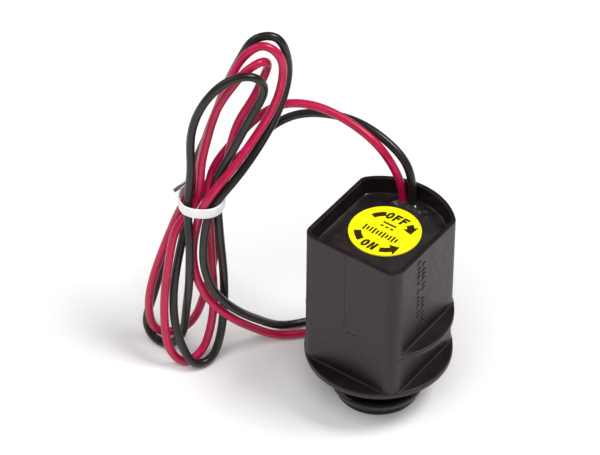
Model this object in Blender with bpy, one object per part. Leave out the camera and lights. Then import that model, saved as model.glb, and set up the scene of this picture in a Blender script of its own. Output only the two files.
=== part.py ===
"""DC-latching solenoid for an irrigation valve, with its two leads folded into a tied hank.

Frame: metres, +Z up. The origin is the centre of the screw boss's bottom face, on the axis.
The flat front of the moulded case faces -Y and its rounded back faces +Y.
"""

import math

import bmesh
import bpy
import numpy as np
from mathutils import Matrix, Vector

MM = 0.001
GAP = 0.3 * MM  # clearance between pieces that touch on the real part

# Case, one moulding: a D-shaped cup, two flanges and a threaded boss
CASE_HALF_WIDTH = 16.9 * MM  # flat left, right and front sides
CASE_REAR_RADIUS = 22.0 * MM
CASE_HEIGHT = 66.0 * MM
CASE_WALL = 1.5 * MM
FRONT_CORNER_RADIUS = 3.8 * MM
REAR_BEND_RADIUS = 3.5 * MM
CUP_FLOOR_Z = 19.6 * MM
POTTING_TOP_Z = 60.0 * MM
POTTING_DEPTH = 3.4 * MM

FLANGE_RADIUS = 22.4 * MM
SEAT_FLANGE_BOTTOM_Z = 16.0 * MM
SEAT_FLANGE_TOP_Z = 18.0 * MM
GRIP_FLANGE_BOTTOM_Z = 31.0 * MM
GRIP_FLANGE_TOP_Z = 33.0 * MM
GRIP_FLANGE_START = math.radians(-44.0)  # polar angle where it starts, and where it is full
GRIP_FLANGE_FULL = math.radians(-26.0)

# Screw boss
THREAD_CREST_RADIUS = 13.8 * MM
THREAD_ROOT_RADIUS = 11.8 * MM
THREAD_PITCH = 3.0 * MM
THREAD_BOTTOM_Z = 6.0 * MM
THREAD_TOP_Z = 15.2 * MM
THREAD_FADE = 1.2 * MM  # each end of the thread runs out over this height
SEAT_FACE_INNER_RADIUS = 15.0 * MM  # the flange's flat seat starts clear of the thread
SEAT_RELIEF_DEPTH = 0.4 * MM
BOSS_LIP_RADIUS = 12.8 * MM
BOSS_LIP_HEIGHT = 2.4 * MM
RING_GROOVE_RADIUS = 11.3 * MM
RING_SEAL_RADIUS = 13.0 * MM  # to the middle of its section
RING_SEAL_SECTION = 1.4 * MM
RING_SEAL_Z = 4.1 * MM
PLUNGER_WELL_RADIUS = 7.6 * MM
PLUNGER_WELL_DEPTH = 12.9 * MM

# Plunger, its guide tube and its spring
PLUNGER_RADIUS = 4.1 * MM
PLUNGER_BOTTOM_Z = 2.0 * MM
PLUNGER_TRAVEL = 2.4 * MM
CORE_BOTTOM_Z = 34.0 * MM
TUBE_BORE_RADIUS = 4.4 * MM
TUBE_RADIUS = 4.9 * MM
TUBE_TOP_Z = 50.0 * MM
COLLAR_RADIUS = 6.4 * MM
COLLAR_THICKNESS = 1.6 * MM
SPRING_WIRE_RADIUS = 0.4 * MM
SPRING_RADIUS = 5.3 * MM
SPRING_TURNS = 4.5
SEAL_RADIUS = 3.2 * MM

# Coil and magnetic circuit
COIL_BOTTOM_Z = 21.7 * MM
COIL_TOP_Z = 47.7 * MM
BOBBIN_RADIUS = 13.1 * MM
BOBBIN_FLANGE = 1.2 * MM
YOKE_RADIUS = 14.8 * MM
YOKE_WALL = 1.2 * MM
MAGNET_RADIUS = 7.5 * MM
TERMINAL_RADIUS = 0.4 * MM

# Label
LABEL_RADIUS = 10.9 * MM
LABEL_CENTRE = (-1.1 * MM, 3.4 * MM)
LABEL_THICKNESS = 0.2 * MM

# Leads. The hank stands in its own frame: first number to the right along its face,
# second number back, third number up, turned about the case's axis.
LEAD_RADIUS = 1.3 * MM
LEAD_START_Z = 56.6 * MM
RED_EXIT = (-4.5 * MM, 17.3 * MM)
BLACK_EXIT = (-1.3 * MM, 17.9 * MM)
LEAD_HOLE_RADIUS = 1.5 * MM
TIP_RADIUS = 0.6 * MM
TIP_LENGTH = 9.0 * MM
HANK_TURN = math.radians(35.0)
TIE_CENTRE = (-53.5, 19.3, 57.5)  # in millimetres, in the hank's frame
TIE_BORE_RADIUS = 7.3 * MM
TIE_WALL = 0.5 * MM
TIE_WIDTH = 4.0 * MM

# Route points in millimetres, in the hank's frame, from the case to the bare end
RED_ROUTE = [
    (3.5, 18.0, 72.5), (-2.5, 20.5, 80.5), (-11.0, 25.0, 85.0), (-21.0, 28.5, 87.5), (-30.5, 30.0, 86.0),
    (-38.0, 29.5, 80.5), (-45.0, 27.5, 72.5), (-50.5, 24.5, 64.0), (-51.5, 19.0, 57.5), (-51.0, 18.5, 47.0),
    (-50.5, 18.0, 33.5), (-50.0, 16.5, 20.0), (-51.5, 13.5, 8.5), (-54.5, 11.0, 2.5), (-58.5, 8.5, 1.5),
    (-62.0, 8.0, 4.5), (-64.5, 9.0, 13.0), (-64.5, 11.5, 28.5), (-63.0, 14.0, 40.5), (-60.0, 17.0, 50.5),
    (-57.0, 18.0, 54.5), (-55.0, 18.5, 58.0), (-53.5, 20.0, 70.0), (-51.5, 21.5, 80.5), (-48.5, 22.5, 91.0),
    (-43.5, 23.0, 100.0), (-39.5, 23.5, 105.0), (-36.0, 25.0, 106.5), (-34.0, 28.0, 103.5), (-35.5, 28.5, 97.0),
    (-38.5, 27.0, 90.5), (-42.0, 26.0, 84.0), (-45.0, 24.0, 74.0), (-47.0, 22.3, 64.0), (-49.0, 21.1, 57.5),
    (-49.0, 22.0, 44.0), (-50.0, 21.5, 32.0), (-53.5, 20.5, 16.5), (-57.5, 20.5, 6.5), (-62.0, 20.5, 3.0),
    (-66.5, 19.5, 4.0), (-69.5, 18.0, 11.0), (-69.5, 17.5, 21.0), (-67.0, 19.0, 32.0), (-63.5, 20.5, 42.5),
    (-60.5, 21.0, 51.0), (-58.0, 20.5, 57.5), (-54.5, 23.5, 66.0), (-52.5, 25.0, 75.5), (-48.5, 26.0, 88.5),
    (-44.5, 26.5, 100.0), (-40.0, 27.0, 108.0), (-35.0, 27.0, 111.0), (-31.0, 26.5, 108.5), (-29.5, 26.0, 101.0),
    (-31.5, 24.5, 92.0), (-37.0, 22.0, 81.5), (-45.0, 17.5, 70.5), (-53.5, 14.5, 57.5), (-54.8, 15.6, 51.0),
    (-56.0, 16.0, 42.0), (-55.5, 14.5, 33.5), (-52.0, 12.5, 25.0), (-45.5, 12.0, 17.5), (-37.5, 16.0, 8.5),
    (-30.0, 19.5, 2.6), (-22.5, 21.5, 1.5), (-13.0, 23.0, 1.4), (-4.0, 23.5, 1.4), (5.0, 22.5, 1.4),
]
BLACK_ROUTE = [
    (7.5, 17.5, 73.5), (1.5, 21.5, 79.5), (-7.0, 26.5, 82.5), (-16.5, 30.5, 82.5), (-26.0, 32.0, 80.5),
    (-34.5, 30.5, 75.5), (-41.5, 28.0, 68.5), (-48.8, 25.4, 61.5), (-52.0, 23.5, 57.5), (-54.5, 25.5, 53.0),
    (-59.0, 25.5, 45.5), (-63.5, 24.0, 35.0), (-66.5, 22.5, 25.0), (-69.5, 22.0, 13.0), (-70.5, 20.5, 5.0),
    (-68.0, 18.0, 2.0), (-64.0, 16.0, 1.8), (-60.5, 15.0, 5.5), (-58.5, 14.5, 15.5), (-57.5, 13.0, 27.0),
    (-57.0, 12.0, 38.0), (-57.0, 13.0, 47.0), (-57.5, 16.0, 57.5), (-56.5, 18.0, 71.5), (-56.5, 18.5, 81.0),
    (-54.5, 19.0, 91.0), (-50.0, 19.5, 99.0), (-44.0, 20.0, 104.0), (-38.0, 20.5, 104.5), (-35.0, 21.5, 100.0),
    (-36.5, 21.5, 93.5), (-41.0, 21.0, 83.5), (-46.0, 20.5, 72.0), (-49.2, 19.4, 63.0), (-48.8, 17.8, 57.0),
    (-48.0, 17.0, 46.0), (-47.0, 16.5, 31.5), (-47.0, 15.0, 17.0), (-48.5, 11.5, 7.0), (-51.0, 9.0, 2.5),
    (-55.0, 6.5, 2.5), (-59.0, 7.0, 8.0), (-61.5, 9.5, 16.0), (-62.0, 13.0, 26.0), (-60.5, 16.5, 37.0),
    (-58.5, 19.5, 46.0), (-56.0, 22.5, 57.5), (-55.5, 26.5, 64.0), (-52.0, 28.5, 75.0), (-48.5, 29.0, 86.5),
    (-45.0, 29.5, 97.0), (-41.0, 30.0, 106.0), (-37.0, 30.0, 111.5), (-32.0, 30.0, 112.0), (-28.5, 29.5, 106.0),
    (-28.0, 29.0, 98.0), (-30.5, 27.0, 87.5), (-36.0, 24.0, 76.0), (-45.0, 17.5, 65.0), (-50.5, 15.0, 57.5),
    (-52.5, 13.0, 49.0), (-52.5, 12.0, 37.0), (-49.0, 11.5, 27.0), (-43.0, 13.0, 19.0), (-35.5, 18.5, 9.5),
    (-28.5, 23.5, 3.0), (-21.0, 27.0, 1.5), (-12.0, 29.5, 1.4), (-3.0, 30.0, 1.4), (6.0, 28.5, 1.4),
]


# ---------------------------------------------------------------- scene and materials


def clear_scene():
    for obj in list(bpy.data.objects):
        bpy.data.objects.remove(obj, do_unlink=True)


def make_material(name, color, roughness, metallic=0.0):
    material = bpy.data.materials.new(name)
    material.use_nodes = True
    shader = material.node_tree.nodes["Principled BSDF"]
    shader.inputs["Base Color"].default_value = (*color, 1.0)
    shader.inputs["Roughness"].default_value = roughness
    shader.inputs["Metallic"].default_value = metallic
    material.diffuse_color = (*color, 1.0)
    return material


def add_object(name, bm, material, sharp_angle=35.0):
    mesh = bpy.data.meshes.new(name)
    bm.to_mesh(mesh)
    bm.free()
    mesh.shade_smooth()
    mesh.set_sharp_from_angle(angle=math.radians(sharp_angle))
    mesh.materials.append(material)
    obj = bpy.data.objects.new(name, mesh)
    bpy.context.scene.collection.objects.link(obj)
    return obj


# ---------------------------------------------------------------- shapes


def loft(rings, closed):
    """Skin rings of equal length. A closed loft joins the last ring to the first."""
    bm = bmesh.new()
    rows = [[bm.verts.new(point) for point in ring] for ring in rings]
    count = len(rows[0])
    pairs = list(zip(rows, rows[1:] + rows[:1])) if closed else list(zip(rows, rows[1:]))
    for lower, upper in pairs:
        for i in range(count):
            j = (i + 1) % count
            bm.faces.new((lower[i], lower[j], upper[j], upper[i]))
    if not closed:
        bm.faces.new(list(reversed(rows[0])))
        bm.faces.new(rows[-1])
    return bm


def circle(radius, z, segments, center=(0.0, 0.0)):
    step = 2.0 * math.pi / segments
    return [
        (center[0] + radius * math.cos(i * step), center[1] + radius * math.sin(i * step), z)
        for i in range(segments)
    ]


def turned(name, profile, material, segments=32, closed=False, center=(0.0, 0.0)):
    """Turn (radius, z) points about +Z: a bar from bottom to top, or a ring if closed.

    A closed profile runs up its outer side and down its bore.
    """
    rings = [circle(radius, z, segments, center) for radius, z in profile]
    return add_object(name, loft(rings, closed), material)


def tube_profile(bore, radius, bottom, top):
    return [(radius, bottom), (radius, top), (bore, top), (bore, bottom)]


def cut(obj, cutter):
    cutter.hide_render = True
    cutter.display_type = "WIRE"
    boolean = obj.modifiers.new("cut", "BOOLEAN")
    boolean.operation = "DIFFERENCE"
    boolean.solver = "EXACT"
    boolean.object = cutter


def drill(name, radius, center, bottom, top, material):
    """A hidden cylinder for cutting a round hole."""
    return turned(name, [(radius, bottom), (radius, top)], material, 24, center=center)


def swept(name, points, radius, material, resolution=2):
    """A round bar along a polyline, as a curve with filled ends."""
    curve = bpy.data.curves.new(name, "CURVE")
    curve.dimensions = "3D"
    curve.bevel_depth = radius
    curve.bevel_resolution = resolution
    curve.use_fill_caps = True
    curve.materials.append(material)
    spline = curve.splines.new("POLY")
    spline.points.add(len(points) - 1)
    for target, point in zip(spline.points, points):
        target.co = (*point, 1.0)
    obj = bpy.data.objects.new(name, curve)
    bpy.context.scene.collection.objects.link(obj)
    return obj


# ---------------------------------------------------------------- case


def case_bend_y():
    """Y of the centre of the bend between a side flat and the rear arc."""
    reach = CASE_REAR_RADIUS - REAR_BEND_RADIUS
    return math.sqrt(reach**2 - (CASE_HALF_WIDTH - REAR_BEND_RADIUS) ** 2)


def case_corner_angles(inset=0.0):
    """Polar angles where the right half of the outline changes from one curve to the next."""
    flat = CASE_HALF_WIDTH - inset
    corner = CASE_HALF_WIDTH - FRONT_CORNER_RADIUS
    bend_y = case_bend_y()
    return (
        math.atan2(-flat, corner),
        math.atan2(-corner, flat),
        math.atan2(bend_y, flat),
        math.atan2(bend_y, CASE_HALF_WIDTH - REAR_BEND_RADIUS),
    )


def case_radius(angle, inset=0.0):
    """Distance from the axis to the D-shaped outline, moved inwards by inset."""
    across = abs(math.cos(angle))
    along = math.sin(angle)
    front, side, bend, rear = case_corner_angles(inset)
    folded = math.atan2(along, across)
    flat = CASE_HALF_WIDTH - inset
    if folded <= front:
        return flat / -along
    if folded <= side:
        corner = CASE_HALF_WIDTH - FRONT_CORNER_RADIUS
        return ray_to_circle(across, along, corner, -corner, FRONT_CORNER_RADIUS - inset)
    if folded <= bend:
        return flat / across
    if folded <= rear:
        center = CASE_HALF_WIDTH - REAR_BEND_RADIUS
        return ray_to_circle(across, along, center, case_bend_y(), REAR_BEND_RADIUS - inset)
    return CASE_REAR_RADIUS - inset


def ray_to_circle(dx, dy, cx, cy, radius):
    """Far distance at which a ray from the axis crosses a circle."""
    middle = dx * cx + dy * cy
    return middle + math.sqrt(middle**2 - cx**2 - cy**2 + radius**2)


def case_angles():
    """Directions that every ring of the case is cut at: closer together round the corners."""
    front, side, bend, rear = case_corner_angles()
    right = list(np.linspace(-math.pi / 2, front, 5))
    right += list(np.linspace(front, side, 5))[1:]
    right += list(np.linspace(side, bend, 11))[1:]
    right += list(np.linspace(bend, rear, 3))[1:]
    right += list(np.linspace(rear, math.pi / 2, 9))[1:]
    left = [math.pi - angle for angle in reversed(right[1:-1])]
    return right + left


def thread_radius(angle, z):
    """A right-hand thread, as a wave that climbs one pitch in each turn."""
    phase = (z - THREAD_BOTTOM_Z) / THREAD_PITCH - angle / (2.0 * math.pi)
    wave = 0.5 + 0.5 * math.cos(2.0 * math.pi * phase)
    ridge = min(1.0, max(0.0, 1.6 * wave - 0.3))
    fade = min(1.0, (z - THREAD_BOTTOM_Z) / THREAD_FADE, (THREAD_TOP_Z - z) / THREAD_FADE)
    return THREAD_ROOT_RADIUS + (THREAD_CREST_RADIUS - THREAD_ROOT_RADIUS) * ridge * max(0.0, fade)


def make_case(material):
    angles = case_angles()

    def ring(radius, z):
        """One ring; radius is a number or a function of the polar angle."""
        radii = [radius(a) if callable(radius) else radius for a in angles]
        return [(r * math.cos(a), r * math.sin(a), z) for r, a in zip(radii, angles)]

    def outer(angle):
        return case_radius(angle)

    def rim(angle):
        return case_radius(angle, 0.3 * MM)

    def inner(angle):
        return case_radius(angle, CASE_WALL)

    def grip_flange(angle):
        """A round flange that grows out of the body behind each front corner."""
        folded = math.atan2(math.sin(angle), abs(math.cos(angle)))
        growth = (folded - GRIP_FLANGE_START) / (GRIP_FLANGE_FULL - GRIP_FLANGE_START)
        growth = min(1.0, max(0.0, growth))
        body = case_radius(angle)
        return body + (FLANGE_RADIUS - body) * growth**2 * (3.0 - 2.0 * growth)

    chamfer = 0.4 * MM
    rings = [
        ring(PLUNGER_WELL_RADIUS, 0.0),
        ring(BOSS_LIP_RADIUS - chamfer, 0.0),
        ring(BOSS_LIP_RADIUS, chamfer),
        ring(BOSS_LIP_RADIUS, BOSS_LIP_HEIGHT),
        ring(RING_GROOVE_RADIUS, BOSS_LIP_HEIGHT),
        ring(RING_GROOVE_RADIUS, THREAD_BOTTOM_Z - 0.2 * MM),
    ]
    steps = round((THREAD_TOP_Z - THREAD_BOTTOM_Z) / (THREAD_PITCH / 4.0))
    for z in np.linspace(THREAD_BOTTOM_Z, THREAD_TOP_Z, steps + 1):
        rings.append(ring(lambda angle, z=z: thread_radius(angle, z), float(z)))
    rings += [
        ring(THREAD_ROOT_RADIUS, SEAT_FLANGE_BOTTOM_Z + SEAT_RELIEF_DEPTH),
        ring(SEAT_FACE_INNER_RADIUS, SEAT_FLANGE_BOTTOM_Z + SEAT_RELIEF_DEPTH),
        ring(SEAT_FACE_INNER_RADIUS, SEAT_FLANGE_BOTTOM_Z),
        ring(FLANGE_RADIUS, SEAT_FLANGE_BOTTOM_Z),
        ring(FLANGE_RADIUS, SEAT_FLANGE_TOP_Z),
        ring(outer, SEAT_FLANGE_TOP_Z),
        ring(outer, GRIP_FLANGE_BOTTOM_Z),
        ring(grip_flange, GRIP_FLANGE_BOTTOM_Z),
        ring(grip_flange, GRIP_FLANGE_TOP_Z),
        ring(outer, GRIP_FLANGE_TOP_Z),
        ring(outer, CASE_HEIGHT - 0.3 * MM),
        ring(rim, CASE_HEIGHT),
        ring(inner, CASE_HEIGHT),
        ring(inner, CUP_FLOOR_Z),
        ring(TUBE_RADIUS + GAP, CUP_FLOOR_Z),
        ring(TUBE_RADIUS + GAP, PLUNGER_WELL_DEPTH),
        ring(PLUNGER_WELL_RADIUS, PLUNGER_WELL_DEPTH),
    ]
    bm = loft(rings, True)
    bmesh.ops.remove_doubles(bm, verts=bm.verts, dist=0.001 * MM)  # where the grip flange is flush
    return add_object("case", bm, material)


def outline_plate(name, inset, bottom, top, material):
    """A plate that follows the inside of the case."""
    rings = []
    for z in (bottom, top):
        rings.append([])
        for angle in case_angles():
            radius = case_radius(angle, inset)
            rings[-1].append((radius * math.cos(angle), radius * math.sin(angle), z))
    return add_object(name, loft(rings, False), material)


def make_potting(material):
    potting = outline_plate(
        "potting_compound", CASE_WALL + GAP, POTTING_TOP_Z - POTTING_DEPTH, POTTING_TOP_Z, material
    )
    for color, center in (("red", RED_EXIT), ("black", BLACK_EXIT)):
        bottom = POTTING_TOP_Z - POTTING_DEPTH - 1.0 * MM
        top = POTTING_TOP_Z + 1.0 * MM
        cut(potting, drill(f"{color}_lead_cutter", LEAD_HOLE_RADIUS, center, bottom, top, material))


def make_label(material):
    bottom = POTTING_TOP_Z + GAP
    profile = [(LABEL_RADIUS, bottom), (LABEL_RADIUS, bottom + LABEL_THICKNESS)]
    turned("label_disc", profile, material, 48, center=LABEL_CENTRE)


# ---------------------------------------------------------------- coil and magnetic circuit


def make_coil(plastic, copper, tape):
    bore = TUBE_RADIUS + GAP
    core = bore + 1.0 * MM
    inner_bottom = COIL_BOTTOM_Z + BOBBIN_FLANGE
    inner_top = COIL_TOP_Z - BOBBIN_FLANGE
    bobbin = [
        (BOBBIN_RADIUS, COIL_BOTTOM_Z),
        (BOBBIN_RADIUS, inner_bottom),
        (core, inner_bottom),
        (core, inner_top),
        (BOBBIN_RADIUS, inner_top),
        (BOBBIN_RADIUS, COIL_TOP_Z),
        (bore, COIL_TOP_Z),
        (bore, COIL_BOTTOM_Z),
    ]
    turned("coil_bobbin", bobbin, plastic, closed=True)
    bottom = inner_bottom + GAP
    top = inner_top - GAP
    winding_radius = BOBBIN_RADIUS - 1.1 * MM
    winding = tube_profile(core + GAP, winding_radius, bottom, top)
    turned("coil_winding", winding, copper, closed=True)
    wrap = tube_profile(winding_radius + GAP, BOBBIN_RADIUS - 0.3 * MM, bottom, top)
    turned("winding_tape", wrap, tape, closed=True)


def make_magnetic_circuit(steel, magnet):
    """A steel path round the coil: washer, tube, top plate, core, and the magnet that latches it."""
    washer_bottom = CUP_FLOOR_Z + GAP
    washer_top = COIL_BOTTOM_Z - GAP
    washer = tube_profile(TUBE_RADIUS + GAP, YOKE_RADIUS, washer_bottom, washer_top)
    turned("lower_flux_washer", washer, steel, closed=True)
    yoke = tube_profile(YOKE_RADIUS - YOKE_WALL, YOKE_RADIUS, COIL_BOTTOM_Z, COIL_TOP_Z)
    turned("yoke_tube", yoke, steel, closed=True)

    plate_bottom = COIL_TOP_Z + GAP
    plate_top = plate_bottom + 1.6 * MM
    ring = tube_profile(TUBE_RADIUS + GAP, YOKE_RADIUS, plate_bottom, plate_top)
    plate = turned("upper_flux_plate", ring, steel, closed=True)
    for color, center in (("red", RED_EXIT), ("black", BLACK_EXIT)):
        hole = terminal_foot(center)
        bottom = plate_bottom - 1.0 * MM
        top = plate_top + 1.0 * MM
        cut(plate, drill(f"{color}_terminal_cutter", 3.0 * TERMINAL_RADIUS, hole, bottom, top, steel))

    core_radius = TUBE_BORE_RADIUS - 0.2 * MM
    core = [(core_radius, CORE_BOTTOM_Z), (core_radius, TUBE_TOP_Z)]
    turned("fixed_core", core, steel)
    magnet_bottom = TUBE_TOP_Z + GAP
    magnet_top = magnet_bottom + 3.2 * MM
    turned("latching_magnet", [(MAGNET_RADIUS, magnet_bottom), (MAGNET_RADIUS, magnet_top)], magnet)
    cap_bottom = magnet_top + GAP
    cap = [(MAGNET_RADIUS + 1.0 * MM, cap_bottom), (MAGNET_RADIUS + 1.0 * MM, cap_bottom + 1.2 * MM)]
    turned("magnet_cap", cap, steel)


def terminal_foot(exit_point):
    """Where a terminal stands on the bobbin's top flange, in line with its lead."""
    return (exit_point[0], 11.6 * MM)


def make_terminal(name, exit_point, material):
    """A bent pin from the bobbin, over the yoke tube and up to the lead."""
    foot = terminal_foot(exit_point)
    bend_z = COIL_TOP_Z + 4.6 * MM
    points = [
        (foot[0], foot[1], COIL_TOP_Z + GAP),
        (foot[0], foot[1], bend_z),
        (exit_point[0], exit_point[1], bend_z),
        (exit_point[0], exit_point[1], LEAD_START_Z - GAP),
    ]
    swept(name, points, TERMINAL_RADIUS, material)


# ---------------------------------------------------------------- plunger and its seat


def make_guide_tube(brass, rubber):
    """The tube that the plunger slides in, flared at its foot, and the ring that seals it."""
    flare_top = PLUNGER_WELL_DEPTH - GAP
    flare_bottom = flare_top - 0.8 * MM
    profile = [
        (TUBE_RADIUS + 2.0 * MM, flare_bottom),
        (TUBE_RADIUS + 2.0 * MM, flare_top),
        (TUBE_RADIUS, flare_top),
        (TUBE_RADIUS, TUBE_TOP_Z - 0.4 * MM),
        (TUBE_BORE_RADIUS, TUBE_TOP_Z - 0.4 * MM),
        (TUBE_BORE_RADIUS, flare_bottom),
    ]
    turned("guide_tube", profile, brass, closed=True)
    ring_seal("base_ring_seal", RING_SEAL_RADIUS, RING_SEAL_SECTION, RING_SEAL_Z, rubber)


def ring_seal(name, radius, section, z, material):
    """A rubber ring of round section."""
    profile = []
    for i in range(10):
        turn = 2.0 * math.pi * i / 10
        profile.append((radius + section * math.cos(turn), z + section * math.sin(turn)))
    turned(name, profile, material, 40, closed=True)


def make_plunger(steel, rubber):
    pocket = 2.0 * MM
    seal_bottom = PLUNGER_BOTTOM_Z - 1.2 * MM
    collar_top = PLUNGER_BOTTOM_Z + COLLAR_THICKNESS
    top = CORE_BOTTOM_Z - PLUNGER_TRAVEL - GAP
    chamfer = 0.4 * MM
    profile = [
        (0.5 * SEAL_RADIUS, PLUNGER_BOTTOM_Z + pocket),
        (SEAL_RADIUS + GAP, PLUNGER_BOTTOM_Z + pocket),
        (SEAL_RADIUS + GAP, PLUNGER_BOTTOM_Z),
        (COLLAR_RADIUS, PLUNGER_BOTTOM_Z),
        (COLLAR_RADIUS, collar_top),
        (PLUNGER_RADIUS, collar_top),
        (PLUNGER_RADIUS, top - chamfer),
        (PLUNGER_RADIUS - chamfer, top),
    ]
    turned("plunger", profile, steel)
    seal = [
        (SEAL_RADIUS - 0.5 * MM, seal_bottom),
        (SEAL_RADIUS, seal_bottom + 0.5 * MM),
        (SEAL_RADIUS, PLUNGER_BOTTOM_Z + pocket - GAP),
    ]
    turned("plunger_seal", seal, rubber, 24)


def make_spring(material):
    """A coil that pushes the plunger down, from the collar to the foot of the guide tube."""
    bottom = PLUNGER_BOTTOM_Z + COLLAR_THICKNESS + GAP + SPRING_WIRE_RADIUS
    top = PLUNGER_WELL_DEPTH - 0.8 * MM - 2.0 * GAP - SPRING_WIRE_RADIUS
    steps = round(SPRING_TURNS * 14)
    points = []
    for i in range(steps + 1):
        turn = 2.0 * math.pi * SPRING_TURNS * i / steps
        z = bottom + (top - bottom) * i / steps
        points.append((SPRING_RADIUS * math.cos(turn), SPRING_RADIUS * math.sin(turn), z))
    swept("plunger_spring", points, SPRING_WIRE_RADIUS, material, 1)


def make_retainer(material):
    """The ring pressed into the mouth of the well, which keeps the plunger in."""
    profile = tube_profile(SEAL_RADIUS + 1.0 * MM, PLUNGER_WELL_RADIUS - GAP, GAP, 1.5 * MM)
    turned("plunger_retainer", profile, material, closed=True)


# ---------------------------------------------------------------- leads


def hank_to_case(point):
    """A point of the hank's frame, in millimetres, as a point of the case's frame, in metres."""
    right, back, up = point
    turn = Matrix.Rotation(HANK_TURN, 3, "Z")
    return turn @ Vector((right, back, up)) * MM


def smooth_curve(points):
    """A natural cubic spline through the points, by chord length: its value at any distance."""
    knots = np.array(points, dtype=float)
    chord = np.linalg.norm(np.diff(knots, axis=0), axis=1)
    at = np.concatenate(([0.0], np.cumsum(chord)))
    count = len(knots)
    system = np.eye(count)
    bend = np.zeros((count, 3))
    for i in range(1, count - 1):
        before, after = chord[i - 1], chord[i]
        system[i, i - 1 : i + 2] = (before, 2.0 * (before + after), after)
        slope = (knots[i + 1] - knots[i]) / after - (knots[i] - knots[i - 1]) / before
        bend[i] = 6.0 * slope
    bend = np.linalg.solve(system, bend)

    def value(distance):
        i = int(min(max(np.searchsorted(at, distance) - 1, 0), count - 2))
        span = chord[i]
        left = (at[i + 1] - distance) / span
        right = (distance - at[i]) / span
        line = left * knots[i] + right * knots[i + 1]
        curve = (left**3 - left) * bend[i] + (right**3 - right) * bend[i + 1]
        return line + curve * span**2 / 6.0

    return value, at[-1]


def sampled(points, longest=7.6 * MM, sharpest=math.radians(24.0)):
    """Points along the smooth curve, no further apart than asked and closer round the bends."""
    value, end = smooth_curve(points)
    fine = [Vector(value(end * i / 3000)) for i in range(3001)]
    picked = [fine[0]]
    start_direction = (fine[1] - fine[0]).normalized()
    for i in range(1, len(fine) - 1):
        direction = (fine[i + 1] - fine[i]).normalized()
        far = (fine[i] - picked[-1]).length > longest
        if far or direction.angle(start_direction) > sharpest:
            picked.append(fine[i])
            start_direction = direction
    if (picked[-1] - fine[-1]).length < 2.0 * LEAD_RADIUS:
        picked.pop()
    return picked + [fine[-1]]


def make_lead(color, exit_point, route, insulation, tinned):
    start = [
        Vector((exit_point[0], exit_point[1], LEAD_START_Z)),
        Vector((exit_point[0], exit_point[1], POTTING_TOP_Z + 4.0 * MM)),
    ]
    points = sampled(start + [hank_to_case(point) for point in route])
    swept(f"{color}_lead", points, LEAD_RADIUS, insulation)
    along = (points[-1] - points[-2]).normalized()
    tip_start = points[-1] + along * GAP
    swept(f"{color}_lead_tip", [tip_start, tip_start + along * TIP_LENGTH], TIP_RADIUS, tinned)


def make_tie(material):
    """The flat strap round the middle of the hank."""
    half = 0.5 * TIE_WIDTH
    profile = tube_profile(TIE_BORE_RADIUS, TIE_BORE_RADIUS + TIE_WALL, -half, half)
    tie = turned("lead_tie", profile, material, 40, closed=True)
    tie.data.transform(Matrix.Translation(hank_to_case(TIE_CENTRE)))


# ---------------------------------------------------------------- assembly


def main():
    clear_scene()
    black_plastic = make_material("black_plastic", (0.016, 0.014, 0.014), 0.45)
    resin = make_material("black_resin", (0.02, 0.019, 0.02), 0.25)
    yellow = make_material("yellow_film", (0.9, 0.78, 0.01), 0.4)
    natural_plastic = make_material("natural_plastic", (0.75, 0.7, 0.58), 0.5)
    copper = make_material("copper_wire", (0.72, 0.3, 0.14), 0.35, 1.0)
    tape = make_material("coil_tape", (0.8, 0.62, 0.1), 0.45)
    steel = make_material("plated_steel", (0.55, 0.55, 0.56), 0.35, 1.0)
    magnet = make_material("ferrite", (0.05, 0.05, 0.055), 0.6)
    brass = make_material("brass", (0.75, 0.58, 0.25), 0.3, 1.0)
    rubber = make_material("black_rubber", (0.012, 0.012, 0.012), 0.7)
    spring_steel = make_material("spring_steel", (0.6, 0.6, 0.6), 0.25, 1.0)
    tinned = make_material("tinned_copper", (0.7, 0.7, 0.68), 0.3, 1.0)
    red = make_material("red_insulation", (0.6, 0.01, 0.05), 0.4)
    black = make_material("black_insulation", (0.025, 0.025, 0.028), 0.4)
    white = make_material("white_tie", (0.85, 0.86, 0.86), 0.4)

    make_case(black_plastic)
    make_potting(resin)
    make_label(yellow)
    make_coil(natural_plastic, copper, tape)
    make_magnetic_circuit(steel, magnet)
    make_terminal("red_terminal", RED_EXIT, tinned)
    make_terminal("black_terminal", BLACK_EXIT, tinned)
    make_guide_tube(brass, rubber)
    make_plunger(steel, rubber)
    make_spring(spring_steel)
    make_retainer(natural_plastic)
    make_lead("red", RED_EXIT, RED_ROUTE, red, tinned)
    make_lead("black", BLACK_EXIT, BLACK_ROUTE, black, tinned)
    make_tie(white)


main()
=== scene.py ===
"""Looks of the latching solenoid: its case, label, leads and working parts, on a pale floor.

Everything is in metres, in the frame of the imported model: +Z up, the flat front faces -Y.
"""

import math

import bmesh
import bpy
import numpy as np
from mathutils import Matrix, Vector


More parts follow.
